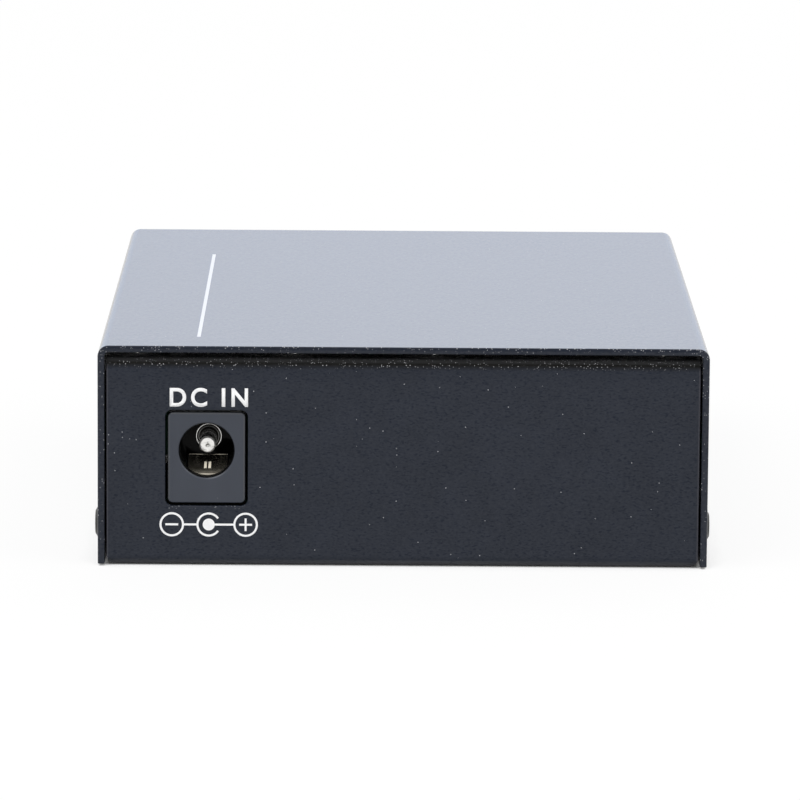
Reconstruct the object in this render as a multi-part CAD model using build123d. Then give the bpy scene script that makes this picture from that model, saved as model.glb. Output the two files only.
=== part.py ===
from build123d import *
import os
from math import cos, pi

# Fibre media converter: a folded-steel case with a power jack at one end and network ports at the other.
# Millimetres, +Z up. The origin is the centre of the underside.
# The power panel faces -Y and the port panel faces +Y.

# Case, folded from steel sheet
CASE_LENGTH = 94.0
CASE_WIDTH = 71.0
CASE_HEIGHT = 26.0
SHEET = 0.8
FOLD_INSIDE = 0.5
COVER_LIFT = 0.2
PANEL_SETBACK = 0.4
SIDE_GAP = 0.2
TOP_GAP = 0.7
RETURN_DEPTH = 4.0
FLANGE_HEIGHT = 7.6
FLANGE_END_GAP = 2.5
CUTOUT_GAP = 0.3
CUTOUT_CORNER = 0.8

# Vent slots in each side of the cover
VENT_COUNT = 7
VENT_WIDTH = 1.6
VENT_HEIGHT = 8.0
VENT_PITCH = 5.0
VENT_RISE = 15.5

# Screws, with plain shanks in place of their threads
SHANK_RADIUS = 1.45
THREAD_GAP = 0.05
RECESS_SPAN = 2.4
RECESS_WIDTH = 0.6
RECESS_DEPTH = 0.9
RECESS_MARGIN = 0.15
COVER_HEAD_RADIUS = 2.3
COVER_SCREW_DOME = 0.55
COVER_SCREW_LENGTH = 4.0
COVER_SCREW_INSET = 7.0
COVER_SCREW_RISE = 3.9
BOARD_HEAD_RADIUS = 2.6
BOARD_SCREW_HEAD = 1.8
BOARD_SCREW_TIP_GAP = 1.9

# Circuit board on clinched standoffs
BOARD_THICKNESS = 1.6
BOARD_SIDE_GAP = 1.7
BOARD_END_GAP = 1.4
BOARD_HOLE_GAP = 0.2
BOARD_TIP_GAP = 0.3
STACK_RAISE = 1.05
STANDOFF_HEX = 5.0
STANDOFF_HEAD_HEX = 6.0
STANDOFF_FLOOR = 0.9
STANDOFF_INSET = 3.0
STANDOFF_CLEAR = 1.3
LEAD_TAIL = 1.2
EDGE_MARGIN = 2.0

# Power jack
JACK_WIDTH = 9.0
JACK_HEIGHT = 10.7
JACK_LENGTH = 14.2
JACK_SETBACK = 0.3
JACK_INSET = 9.15
JACK_AXIS_RISE = 6.2
JACK_FLANGE = 3.4
JACK_SHOULDER = 0.4
JACK_CORNER = 0.6
JACK_BORE_RADIUS = 3.15
JACK_BORE_DEPTH = 9.8
JACK_MOUTH_CHAMFER = 0.25
JACK_PIN_RADIUS = 1.0
JACK_PIN_SETBACK = 3.6
JACK_PIN_NOSE = 0.6
JACK_ROOT_RADIUS = 1.5
JACK_ROOT_PROUD = 0.3
JACK_PIN_TAIL = 1.6
JACK_STRIP = 0.3
JACK_STRIP_WIDTH = 4.6
JACK_STRIP_FRONT = 1.5
JACK_STRIP_CREST = 8.0
JACK_STRIP_LIFT = 1.2
JACK_STRIP_END = 9.4
JACK_STRIP_BEND = 0.6
JACK_STRIP_GAP = 0.2
JACK_TAB_WIDTH = 2.6
JACK_TAB_THICKNESS = 0.4

# Ethernet jack with a metal shield
RJ45_WIDTH = 16.0
RJ45_HEIGHT = 13.4
RJ45_LENGTH = 21.0
RJ45_PROUD = 0.4
RJ45_SHIELD = 0.25
RJ45_FIT = 0.05
RJ45_BLOCK_LENGTH = 15.0
RJ45_WINDOW_MARGIN = 1.4
PLUG_WIDTH = 11.9
PLUG_HEIGHT = 7.0
PLUG_DEPTH = 13.0
PLUG_RISE = 4.2
LATCH_WIDTH = 6.2
LATCH_DROP = 1.4
LATCH_SLOT_WIDTH = 3.4
LATCH_SLOT_DROP = 1.2
WIRE_COUNT = 8
WIRE_PITCH = 1.02
WIRE_WIDTH = 0.46
WIRE_THICKNESS = 0.3
WIRE_CHANNEL = 1.3
WIRE_FRONT = 3.8
WIRE_REACH = 7.0
WIRE_DROP = 4.0
WIRE_LEG = 17.0
WIRE_LEG_STAGGER = 1.6
SHIELD_TAIL_WIDTH = 1.4
SHIELD_TAIL_PLACE = 9.0

# Duplex fibre transceiver
FIBRE_WIDTH = 25.4
FIBRE_HEIGHT = 10.4
FIBRE_LENGTH = 39.0
FIBRE_PROUD = 1.6
FIBRE_EDGE = 0.6
FIBRE_SADDLE_DEPTH = 1.2
FIBRE_SADDLE_LENGTH = 16.0
FIBRE_SADDLE_WIDTH = 17.0
PORT_PITCH = 12.7
PORT_WIDTH = 9.2
PORT_HEIGHT = 7.6
PORT_DEPTH = 13.0
PORT_RISE = 5.2
KEY_WIDTH = 2.2
KEY_HEIGHT = 0.8
KEY_DEPTH = 9.0
INSERT_GAP = 0.1
INSERT_PLATE = 1.4
HOOK_LENGTH = 7.0
HOOK_THICKNESS = 0.8
HOOK_HEIGHT = 3.6
HOOK_BARB = 0.7
HOOK_BARB_LENGTH = 1.6
FERRULE_RADIUS = 1.25
SLEEVE_RADIUS = 1.9
SLEEVE_LENGTH = 7.0
SLEEVE_FLOOR = 0.6
MODULE_PIN = 0.5
MODULE_PIN_COUNT = 9
MODULE_PIN_PITCH = 2.54
MODULE_PIN_INSET = 2.2
MODULE_STUD = 1.6
MODULE_STUD_SPACING = 20.32
MODULE_STUD_PLACE = 22.0

# Status lights
LED_WIDTH = 3.8
LED_HEIGHT = 1.9
LED_PANEL_GAP = 0.15
LED_PROUD = 0.6
LED_FLANGE = 0.9
LED_FLANGE_LIP = 0.35
LED_COLUMN_ROOM = 6.4
LED_ROWS = 3
LED_COLUMN_PITCH = 5.4
LED_ROW_PITCH = 4.4
LED_RISE = 2.9
LED_HOLDER_DEPTH = 2.8
LED_HOLDER_GAP = 0.3
LED_HOLDER_WALL = 0.8
LED_FIT = 0.05
LEAD_SQUARE = 0.45
LEAD_SPACING = 2.54
LEAD_REACH = 1.4
LEAD_REACH_STEP = 1.8

# Parts soldered to the board
CHIP_SIDE = 9.0
CHIP_HEIGHT = 0.9
CHIP_PLACE = (8.0, -10.0)
LEAD_RISE = 0.7
LEAD_FOOT = 0.6
LEAD_SPAN = 1.0
LEAD_WIDTH = 0.32
LEAD_SHEET = 0.2
SEAT_GAP = 0.1
TRANSFORMER_LENGTH = 12.7
TRANSFORMER_WIDTH = 7.0
TRANSFORMER_HEIGHT = 5.6
TRANSFORMER_LEADS = 8
TRANSFORMER_PITCH = 1.27
TRANSFORMER_GAP = 4.5
REGULATOR_LENGTH = 6.5
REGULATOR_WIDTH = 3.5
REGULATOR_HEIGHT = 1.6
REGULATOR_LEADS = 3
REGULATOR_PITCH = 2.3
REGULATOR_TAB_WIDTH = 3.0
REGULATOR_GAP = 3.0
CRYSTAL_LENGTH = 7.0
CRYSTAL_WIDTH = 5.0
CRYSTAL_BASE = 0.8
CRYSTAL_LID = 0.6
CRYSTAL_RIM = 0.4
CRYSTAL_PLACE = (-6.5, -10.0)
CAPACITOR_LENGTH = 7.3
CAPACITOR_WIDTH = 4.3
CAPACITOR_HEIGHT = 4.0
CAPACITOR_GAP = 3.0
CAPACITOR_PITCH = 7.0
CAPACITOR_LEAD_WIDTH = 2.4
DIODE_LENGTH = 4.4
DIODE_WIDTH = 2.6
DIODE_HEIGHT = 2.1
DIODE_GAP = 3.2
DIODE_LEAD_WIDTH = 1.4
PASSIVE_LENGTH = 2.0
PASSIVE_WIDTH = 1.25
PASSIVE_HEIGHT = 0.6
PASSIVE_PITCH = 3.4
PASSIVE_COUNT = 5
PASSIVE_GAP = 2.0
PASSIVE_SCREW_GAP = 1.675

# Places that follow from the sizes above
fold_outside = FOLD_INSIDE + SHEET
base_width = CASE_WIDTH - 2 * (SHEET + SIDE_GAP)
base_length = CASE_LENGTH - 2 * PANEL_SETBACK
base_height = CASE_HEIGHT - SHEET - TOP_GAP
panel_outside = base_length / 2
panel_inside = panel_outside - SHEET
flange_inside = base_width / 2 - SHEET
flange_length = base_length - 2 * (fold_outside + FLANGE_END_GAP)
cover_screw_y = CASE_LENGTH / 2 - COVER_SCREW_INSET
shank_hole = SHANK_RADIUS + THREAD_GAP

# The board and the tallest piece on it stand about midway between the floor and the panels' returns
free_height = base_height - 2 * SHEET - BOARD_THICKNESS - RJ45_HEIGHT
standoff_height = free_height / 2 + STACK_RAISE
board_bottom = SHEET + standoff_height
board_top = board_bottom + BOARD_THICKNESS
board_width = 2 * (flange_inside - BOARD_SIDE_GAP)
board_length = 2 * (panel_inside - BOARD_END_GAP)
board_screw_length = board_top - STANDOFF_FLOOR - BOARD_SCREW_TIP_GAP
lead_end = board_bottom - LEAD_TAIL

jack_x = -board_width / 2 + JACK_INSET
jack_front = -panel_outside + JACK_SETBACK
jack_back = jack_front + JACK_LENGTH
jack_axis = board_top + JACK_AXIS_RISE
jack_strip_floor = jack_axis - JACK_BORE_RADIUS - JACK_STRIP_BEND - JACK_STRIP

rj45_x = -board_width / 2 + EDGE_MARGIN + RJ45_WIDTH / 2
rj45_front = panel_outside + RJ45_PROUD
rj45_back = rj45_front - RJ45_LENGTH
plug_low = board_top + PLUG_RISE
plug_high = plug_low + PLUG_HEIGHT

fibre_x = board_width / 2 - EDGE_MARGIN - FIBRE_WIDTH / 2
fibre_front = panel_outside + FIBRE_PROUD
fibre_back = fibre_front - FIBRE_LENGTH
port_axis = board_top + PORT_RISE
port_xs = [fibre_x - PORT_PITCH / 2, fibre_x + PORT_PITCH / 2]
insert_front = fibre_front - PORT_DEPTH + INSERT_PLATE

led_left = rj45_x + RJ45_WIDTH / 2
led_right = fibre_x - FIBRE_WIDTH / 2
led_x = (led_left + led_right) / 2
led_columns = int((led_right - led_left) // LED_COLUMN_ROOM)
led_tip = panel_outside + LED_PROUD
holder_front = panel_inside - LED_HOLDER_GAP
holder_back = holder_front - LED_HOLDER_DEPTH
led_xs = [led_x + (column - (led_columns - 1) / 2) * LED_COLUMN_PITCH for column in range(led_columns)]
led_zs = [board_top + LED_RISE + row * LED_ROW_PITCH for row in range(LED_ROWS)]
led_places = [(x, z, row) for row, z in enumerate(led_zs) for x in led_xs]

standoff_x = board_width / 2 - STANDOFF_INSET
standoff_clear = BOARD_HEAD_RADIUS + STANDOFF_CLEAR
standoff_places = [
    (side * standoff_x, y)
    for y in (jack_back + standoff_clear, fibre_back - standoff_clear)
    for side in (-1, 1)
]
board_screw_places = [standoff_places[0], standoff_places[-1]]

capacitor_y = -board_length / 2 + CAPACITOR_GAP + CAPACITOR_LENGTH / 2
capacitor_x = jack_x + JACK_WIDTH / 2 + CAPACITOR_GAP + CAPACITOR_WIDTH / 2
capacitor_places = [(capacitor_x + i * CAPACITOR_PITCH, capacitor_y) for i in range(2)]
regulator_y = capacitor_y + CAPACITOR_LENGTH / 2 + REGULATOR_GAP + REGULATOR_WIDTH / 2
regulator_place = (capacitor_x + CAPACITOR_PITCH / 2, regulator_y)
diode_place = (jack_x, jack_back + DIODE_GAP)
transformer_place = (rj45_x, rj45_back - TRANSFORMER_GAP - TRANSFORMER_WIDTH / 2)
passive_last_x = standoff_x - BOARD_HEAD_RADIUS - PASSIVE_SCREW_GAP - PASSIVE_WIDTH / 2
passive_xs = [passive_last_x - i * PASSIVE_PITCH for i in reversed(range(PASSIVE_COUNT))]
passive_y = fibre_back - PASSIVE_GAP - PASSIVE_LENGTH / 2


def block(low, high):
    """A box between two opposite corners."""
    size = [b - a for a, b in zip(low, high)]
    centre = [(a + b) / 2 for a, b in zip(low, high)]
    return Pos(*centre) * Box(*size)


def plate(width, height, radius, rounded):
    """A rectangle standing on the middle of its lower edge, its top, bottom or all corners rounded."""
    shape = Pos(0, height / 2) * Rectangle(width, height)
    rows = shape.vertices().group_by(Axis.Y)
    corners = {"bottom": rows[0], "top": rows[-1], "all": shape.vertices()}
    return fillet(corners[rounded], radius)


def turned(profile, origin, axis):
    """A turned piece from (radius, height) points, its own axis laid along the given one."""
    outline = Plane.XZ * make_face(Polyline(*profile, close=True))
    return Plane(origin=origin, z_dir=axis) * revolve(outline, Axis.Z)


def mitred(points, thickness):
    """The outline of a sheet of even thickness along a bent middle line, with sharp corners."""
    line = [Vector(*point) for point in points]
    ways = [(b - a).normalized() for a, b in zip(line, line[1:])]
    normals = [Vector(-way.Y, way.X) for way in ways]
    before = normals[:1] + normals
    after = normals + normals[-1:]
    shifts = [(a + b) * (thickness / 2 / (1 + a.dot(b))) for a, b in zip(before, after)]
    near = [point + shift for point, shift in zip(line, shifts)]
    far = [point - shift for point, shift in zip(line, shifts)]
    return make_face(Polyline(*near, *reversed(far), close=True))


def strip(section, width, x):
    """A bent strip from its (y, z) section, as wide as given, at one x."""
    return Pos(x, 0, 0) * extrude(Plane.YZ * section, amount=width / 2, both=True)


def group(solids):
    """Separate solids kept together as one node."""
    return Compound(children=list(solids))


def through_panel(width, height, x, low, y):
    """The cutter of a window in an end panel, around something of this size."""
    half = width / 2 + CUTOUT_GAP
    low_corner = (x - half, y - 2 * SHEET, low - CUTOUT_GAP)
    return block(low_corner, (x + half, y + 2 * SHEET, low + height + CUTOUT_GAP))


# Screws


def cross_recess(depth):
    """The cross-shaped driver recess, open at height 0 and sunk below it."""
    arm = Pos(0, 0, -depth / 2) * Box(RECESS_SPAN, RECESS_WIDTH, depth)
    return arm + Rot(0, 0, 90) * arm


def countersunk_profile(gap):
    """Half section of a countersunk screw below its face, grown by a gap to make its hole."""
    cone = COVER_HEAD_RADIUS - SHANK_RADIUS
    return [
        (0, 0),
        (COVER_HEAD_RADIUS + gap, 0),
        (SHANK_RADIUS + gap, -cone),
        (SHANK_RADIUS + gap, -COVER_SCREW_LENGTH - gap),
        (0, -COVER_SCREW_LENGTH - gap),
    ]


def cover_screw(side, y):
    """A raised countersunk screw in one side of the cover, its crowned head standing proud."""
    crown = RECESS_SPAN / 2 + RECESS_MARGIN
    profile = [(0, COVER_SCREW_DOME), (crown, COVER_SCREW_DOME)] + countersunk_profile(0)[1:]
    place = Plane(origin=(side * CASE_WIDTH / 2, y, COVER_SCREW_RISE), z_dir=(side, 0, 0))
    screw = turned(profile, place.origin, place.z_dir)
    return screw - place * Pos(0, 0, COVER_SCREW_DOME) * cross_recess(RECESS_DEPTH)


def cover_screw_hole(side, y):
    """The room that a cover screw needs in the sheets it passes through."""
    origin = (side * CASE_WIDTH / 2, y, COVER_SCREW_RISE)
    return turned(countersunk_profile(THREAD_GAP), origin, (side, 0, 0))


def board_screw(x, y):
    """A cheese-head screw that holds the board down on its standoff."""
    profile = [
        (0, -board_screw_length),
        (SHANK_RADIUS, -board_screw_length),
        (SHANK_RADIUS, 0),
        (BOARD_HEAD_RADIUS, 0),
        (BOARD_HEAD_RADIUS, BOARD_SCREW_HEAD),
        (0, BOARD_SCREW_HEAD),
    ]
    screw = turned(profile, (x, y, board_top), (0, 0, 1))
    return screw - Pos(x, y, board_top + BOARD_SCREW_HEAD) * cross_recess(RECESS_DEPTH)


screw_sides = [(side, y) for side in (-1, 1) for y in (-cover_screw_y, cover_screw_y)]


# Case


def top_cover():
    """The cover: one sheet folded into a top and two sides, with vent slots and countersunk screw holes."""
    height = CASE_HEIGHT - COVER_LIFT
    section = plate(CASE_WIDTH, height, fold_outside, "top")
    section -= plate(CASE_WIDTH - 2 * SHEET, height - SHEET, FOLD_INSIDE, "top")
    cover = Pos(0, 0, COVER_LIFT) * extrude(Plane.XZ * section, amount=CASE_LENGTH / 2, both=True)
    for i in range(VENT_COUNT):
        y = (i - (VENT_COUNT - 1) / 2) * VENT_PITCH
        cover -= Pos(0, y, VENT_RISE) * Box(2 * CASE_WIDTH, VENT_WIDTH, VENT_HEIGHT)
    for side, y in screw_sides:
        cover -= cover_screw_hole(side, y)
    return cover


def base_chassis():
    """The base: one sheet folded into a floor, two end panels with top returns, and two side flanges."""
    ring = plate(base_length, base_height, fold_outside, "all")
    ring -= Pos(0, SHEET) * plate(base_length - 2 * SHEET, base_height - 2 * SHEET, FOLD_INSIDE, "all")
    opening = base_length - 2 * RETURN_DEPTH
    ring -= Pos(0, base_height) * Rectangle(opening, base_height)
    tray = extrude(Plane.YZ * ring, amount=base_width / 2, both=True)
    outline = plate(base_width, base_height, fold_outside, "bottom")
    tray &= extrude(Plane.XZ * outline, amount=base_length / 2, both=True)

    channel = plate(base_width, FLANGE_HEIGHT, fold_outside, "bottom")
    inner = plate(base_width - 2 * SHEET, FLANGE_HEIGHT, FOLD_INSIDE, "bottom")
    channel -= Pos(0, SHEET) * inner
    base = tray + extrude(Plane.XZ * channel, amount=flange_length / 2, both=True)

    for side, y in screw_sides:
        base -= cover_screw_hole(side, y)
    for x, y in standoff_places:
        base -= Pos(x, y, 0) * extrude(hexagon(STANDOFF_HEAD_HEX), amount=SHEET)

    window = plate(JACK_WIDTH + 2 * CUTOUT_GAP, JACK_HEIGHT + 2 * CUTOUT_GAP, CUTOUT_CORNER, "all")
    window = extrude(Plane.XZ * window, amount=2 * SHEET, both=True)
    base -= Pos(jack_x, -panel_outside, board_top - CUTOUT_GAP) * window
    base -= through_panel(RJ45_WIDTH, RJ45_HEIGHT, rj45_x, board_top, panel_outside)
    base -= through_panel(FIBRE_WIDTH, FIBRE_HEIGHT, fibre_x, board_top, panel_outside)
    for x, z, _ in led_places:
        hole = Box(LED_WIDTH + 2 * LED_PANEL_GAP, 4 * SHEET, LED_HEIGHT + 2 * LED_PANEL_GAP)
        base -= Pos(x, panel_outside, z) * hole
    return base


# Board and its standoffs


def hexagon(across):
    """A hexagon by its width across flats."""
    return RegularPolygon(across / 2 / cos(pi / 6), 6)


def standoff(x, y, tapped):
    """A clinched hexagonal standoff, its head flush in the floor, with a blind tapped hole or plain."""
    post = extrude(hexagon(STANDOFF_HEAD_HEX), amount=SHEET)
    post += extrude(hexagon(STANDOFF_HEX), amount=board_bottom)
    if tapped:
        bore = board_bottom - STANDOFF_FLOOR
        post -= Pos(0, 0, STANDOFF_FLOOR + bore / 2) * Cylinder(shank_hole, bore)
    return Pos(x, y, 0) * post


def solder_holes():
    """Every place where a soldered lead passes the board, as (x, y, width, depth)."""
    holes = [(x, y, WIRE_WIDTH, WIRE_THICKNESS) for x, y in wire_legs()]
    holes += [(x, y, MODULE_PIN, MODULE_PIN) for x, y in module_pins()]
    holes += [(x, y, LEAD_SQUARE, LEAD_SQUARE) for x, y, _ in led_lead_places()]
    holes += [(jack_x, y, JACK_TAB_WIDTH, depth) for y, depth in jack_tabs()]
    holes += [(x, shield_tail_y(), RJ45_SHIELD, SHIELD_TAIL_WIDTH) for x in shield_tails()]
    holes += [(x, y, MODULE_STUD, MODULE_STUD) for x, y in module_studs()]
    return holes


def circuit_board():
    """The board, with holes for its screws and each soldered lead, and clear of the cover screws' tips."""
    outline = Rectangle(board_width, board_length)
    for x, y in board_screw_places:
        outline -= Pos(x, y) * Circle(SHANK_RADIUS + BOARD_HOLE_GAP)
    for x, y, width, depth in solder_holes():
        outline -= Pos(x, y) * Rectangle(width, depth)
    board = Pos(0, 0, board_bottom) * extrude(outline, amount=BOARD_THICKNESS)
    # The tips pass below this board, and notch its edges where a lower case brings it down to them
    tip_span = CASE_WIDTH / 2 - COVER_SCREW_LENGTH - BOARD_TIP_GAP
    for side, y in screw_sides:
        tip = Plane(origin=(side * tip_span, y, COVER_SCREW_RISE), z_dir=(side, 0, 0))
        board -= tip * extrude(Circle(SHANK_RADIUS + BOARD_TIP_GAP), amount=COVER_SCREW_LENGTH)
    return board


# Power jack


def jack_tabs():
    """Where the jack's flat terminals pass the board, as (y, thickness): pin, sleeve strip."""
    pin_y = jack_back - JACK_PIN_TAIL + JACK_TAB_THICKNESS / 2
    return [(pin_y, JACK_TAB_THICKNESS), (strip_leg_y(), JACK_STRIP)]


def strip_leg_y():
    """Where the sleeve strip turns down into the board."""
    return jack_front + JACK_STRIP_CREST


def jack_body():
    """The moulded housing: front block, slightly smaller body behind it, and a bore with a strip slot."""
    front = plate(JACK_WIDTH, JACK_HEIGHT, JACK_CORNER, "all")
    body = Pos(jack_x, jack_front, board_top) * extrude(Plane.XZ * front, amount=-JACK_FLANGE)
    half = JACK_WIDTH / 2 - JACK_SHOULDER
    back = jack_back - JACK_PIN_TAIL
    top = board_top + JACK_HEIGHT - JACK_SHOULDER
    body += block((jack_x - half, jack_front, board_top), (jack_x + half, back, top))

    mouth = JACK_BORE_RADIUS + JACK_MOUTH_CHAMFER
    bore = [
        (0, 0),
        (mouth, 0),
        (JACK_BORE_RADIUS, -JACK_MOUTH_CHAMFER),
        (JACK_BORE_RADIUS, -JACK_BORE_DEPTH),
        (0, -JACK_BORE_DEPTH),
    ]
    body -= turned(bore, (jack_x, jack_front, jack_axis), (0, -1, 0))
    body -= Pos(jack_x, jack_back, jack_axis) * Rot(90, 0, 0) * Cylinder(JACK_ROOT_RADIUS, JACK_LENGTH)

    half = JACK_STRIP_WIDTH / 2 + JACK_STRIP_GAP
    slot_low = jack_strip_floor - JACK_STRIP / 2
    slot_front = jack_front + JACK_STRIP_FRONT - JACK_STRIP_GAP
    slot_back = jack_front + JACK_BORE_DEPTH
    body -= block((jack_x - half, slot_front, slot_low), (jack_x + half, slot_back, jack_axis))
    leg = strip_leg_y()
    tab = JACK_TAB_WIDTH / 2 + JACK_STRIP_GAP
    depth = JACK_STRIP / 2 + JACK_STRIP_GAP
    low = (jack_x - tab, leg - JACK_STRIP_BEND - depth, board_top)
    return body - block(low, (jack_x + tab, leg + depth, jack_axis))


def jack_pin():
    """The centre pin: round nose, wider root set in the back of the bore, and a flat tail to the board."""
    tip = JACK_PIN_SETBACK
    root = JACK_BORE_DEPTH - JACK_ROOT_PROUD
    back = JACK_LENGTH - JACK_PIN_TAIL
    profile = [
        (0, -tip),
        (JACK_PIN_RADIUS - JACK_PIN_NOSE, -tip),
        (JACK_PIN_RADIUS - JACK_PIN_NOSE * 0.3, -tip - JACK_PIN_NOSE * 0.3),
        (JACK_PIN_RADIUS, -tip - JACK_PIN_NOSE),
        (JACK_PIN_RADIUS, -root),
        (JACK_ROOT_RADIUS, -root),
        (JACK_ROOT_RADIUS, -back),
        (0, -back),
    ]
    pin = turned(profile, (jack_x, jack_front, jack_axis), (0, -1, 0))
    tail_y = jack_front + back
    half = JACK_TAB_WIDTH / 2
    high = jack_axis + JACK_ROOT_RADIUS
    return pin + block((jack_x - half, tail_y, lead_end), (jack_x + half, tail_y + JACK_TAB_THICKNESS, high))


def jack_sleeve_spring():
    """The sleeve contact: a strip folded back at the mouth and rising to a crest in the bore, with a leg."""
    front = jack_front + JACK_STRIP_FRONT + JACK_STRIP / 2
    low = jack_strip_floor + JACK_STRIP_BEND
    crest = (jack_front + JACK_STRIP_CREST, jack_axis - JACK_BORE_RADIUS + JACK_STRIP_LIFT)
    end = (jack_front + JACK_STRIP_END, jack_axis - JACK_BORE_RADIUS)
    leg = strip_leg_y()
    points = [(leg, lead_end), (leg, jack_strip_floor), (front, jack_strip_floor), (front, low), crest, end]
    radii = [JACK_STRIP_BEND, JACK_STRIP_BEND / 2, JACK_STRIP_BEND / 2, JACK_STRIP_BEND]
    path = FilletPolyline(*points, radius=radii)
    spring = strip(trace(path, JACK_STRIP), JACK_STRIP_WIDTH, jack_x)
    half = JACK_TAB_WIDTH / 2
    narrow = jack_strip_floor - JACK_STRIP / 2
    for side in (-1, 1):
        spring -= block(
            (jack_x + min(side * half, side * JACK_WIDTH), leg - JACK_WIDTH, 0),
            (jack_x + max(side * half, side * JACK_WIDTH), leg + JACK_WIDTH, narrow),
        )
    return spring


# Ethernet jack


def wire_xs():
    """The eight contact wires across the jack."""
    return [rj45_x + (i - (WIRE_COUNT - 1) / 2) * WIRE_PITCH for i in range(WIRE_COUNT)]


def wire_legs():
    """Where each contact wire turns down into the board, in two staggered rows."""
    return [
        (x, rj45_front - WIRE_LEG - (i % 2) * WIRE_LEG_STAGGER)
        for i, x in enumerate(wire_xs())
    ]


def shield_tails():
    """The two solder tails of the shield, one in each side wall."""
    inset = RJ45_WIDTH / 2 - RJ45_SHIELD / 2
    return [rj45_x - inset, rj45_x + inset]


def shield_tail_y():
    """How far back the shield's solder tails stand."""
    return rj45_front - SHIELD_TAIL_PLACE


def rj45_shield():
    """The metal can of the Ethernet jack: open below, a window in front, two solder tails."""
    half = RJ45_WIDTH / 2
    top = board_top + RJ45_HEIGHT
    can = block((rj45_x - half, rj45_back, board_top), (rj45_x + half, rj45_front, top))
    inner = half - RJ45_SHIELD
    can -= block(
        (rj45_x - inner, rj45_back + RJ45_SHIELD, board_top),
        (rj45_x + inner, rj45_front - RJ45_SHIELD, top - RJ45_SHIELD),
    )
    window = half - RJ45_WINDOW_MARGIN
    can -= block(
        (rj45_x - window, rj45_front - RJ45_SHIELD, board_top + RJ45_WINDOW_MARGIN),
        (rj45_x + window, rj45_front, top - RJ45_WINDOW_MARGIN),
    )
    for x in shield_tails():
        low = (x - RJ45_SHIELD / 2, shield_tail_y() - SHIELD_TAIL_WIDTH / 2, lead_end)
        high = (x + RJ45_SHIELD / 2, shield_tail_y() + SHIELD_TAIL_WIDTH / 2, board_top)
        can += block(low, high)
    return can


def rj45_housing():
    """The moulded block in the shield: a plug cavity, its stepped latch channel, and a wire channel."""
    half = RJ45_WIDTH / 2 - RJ45_SHIELD - RJ45_FIT
    front = rj45_front - RJ45_SHIELD
    back = front - RJ45_BLOCK_LENGTH
    top = board_top + RJ45_HEIGHT - RJ45_SHIELD - RJ45_FIT
    housing = block((rj45_x - half, back, board_top), (rj45_x + half, front, top))
    deep = front - PLUG_DEPTH
    steps = [
        (PLUG_WIDTH, plug_low, plug_high),
        (LATCH_WIDTH, plug_low - LATCH_DROP, plug_high),
        (LATCH_SLOT_WIDTH, plug_low - LATCH_DROP - LATCH_SLOT_DROP, plug_high),
    ]
    for width, low, high in steps:
        housing -= block((rj45_x - width / 2, deep, low), (rj45_x + width / 2, front, high))
    channel = WIRE_COUNT * WIRE_PITCH / 2
    channel_front = rj45_front - WIRE_FRONT + 2 * WIRE_THICKNESS
    low, high = plug_high - WIRE_DROP, plug_high + WIRE_CHANNEL
    housing -= block((rj45_x - channel, back, low), (rj45_x + channel, deep, high))
    return housing - block((rj45_x - channel, back, plug_high), (rj45_x + channel, channel_front, high))


def rj45_contacts():
    """Eight contact wires: a leg through the board, a run along the top, folded down into the cavity."""
    high = plug_high + WIRE_CHANNEL / 2
    front = rj45_front - WIRE_FRONT
    fold = (front, high - 2 * WIRE_THICKNESS)
    tip = (front - WIRE_REACH, high - WIRE_DROP)
    return group(
        strip(mitred([(y, lead_end), (y, high), (front, high), fold, tip], WIRE_THICKNESS), WIRE_WIDTH, x)
        for x, y in wire_legs()
    )


# Fibre transceiver


def fibre_body():
    """The moulded transceiver: two receptacles with key slots, and a saddle cut in the top at the back."""
    outline = plate(FIBRE_WIDTH, FIBRE_HEIGHT, FIBRE_EDGE, "top")
    body = Pos(fibre_x, fibre_front, board_top) * extrude(Plane.XZ * outline, amount=FIBRE_LENGTH)
    saddle = FIBRE_SADDLE_WIDTH / 2
    top = board_top + FIBRE_HEIGHT
    body -= block(
        (fibre_x - saddle, fibre_back, top - FIBRE_SADDLE_DEPTH),
        (fibre_x + saddle, fibre_back + FIBRE_SADDLE_LENGTH, top),
    )
    for x in port_xs:
        body -= receptacle(x)
    return body


def receptacle(x):
    """The cutter of one fibre receptacle: a rectangular cavity with a key slot above it."""
    low, high = port_axis - PORT_HEIGHT / 2, port_axis + PORT_HEIGHT / 2
    deep = fibre_front - PORT_DEPTH
    cavity = block((x - PORT_WIDTH / 2, deep, low), (x + PORT_WIDTH / 2, fibre_front, high))
    half = KEY_WIDTH / 2
    key_end = fibre_front - KEY_DEPTH
    return cavity + block((x - half, key_end, high), (x + half, fibre_front, high + KEY_HEIGHT))


def latch_insert(x):
    """The latch insert at the bottom of a receptacle: a back plate with two barbed hooks."""
    half_width = PORT_WIDTH / 2 - INSERT_GAP
    half_height = PORT_HEIGHT / 2 - INSERT_GAP
    back = insert_front - INSERT_PLATE
    low = (x - half_width, back, port_axis - half_height)
    insert = block(low, (x + half_width, insert_front, port_axis + half_height))
    tip = insert_front + HOOK_LENGTH
    hook = make_face(
        Polyline(
            (half_width, insert_front),
            (half_width, tip),
            (half_width - HOOK_THICKNESS, tip),
            (half_width - HOOK_THICKNESS - HOOK_BARB, tip - HOOK_BARB_LENGTH),
            (half_width - HOOK_THICKNESS, tip - HOOK_BARB_LENGTH),
            (half_width - HOOK_THICKNESS, insert_front),
            close=True,
        )
    )
    arm = Pos(0, 0, port_axis) * extrude(hook, amount=HOOK_HEIGHT / 2, both=True)
    insert += Pos(x, 0, 0) * arm
    return insert + Pos(x, 0, 0) * mirror(arm, Plane.YZ)


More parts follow.
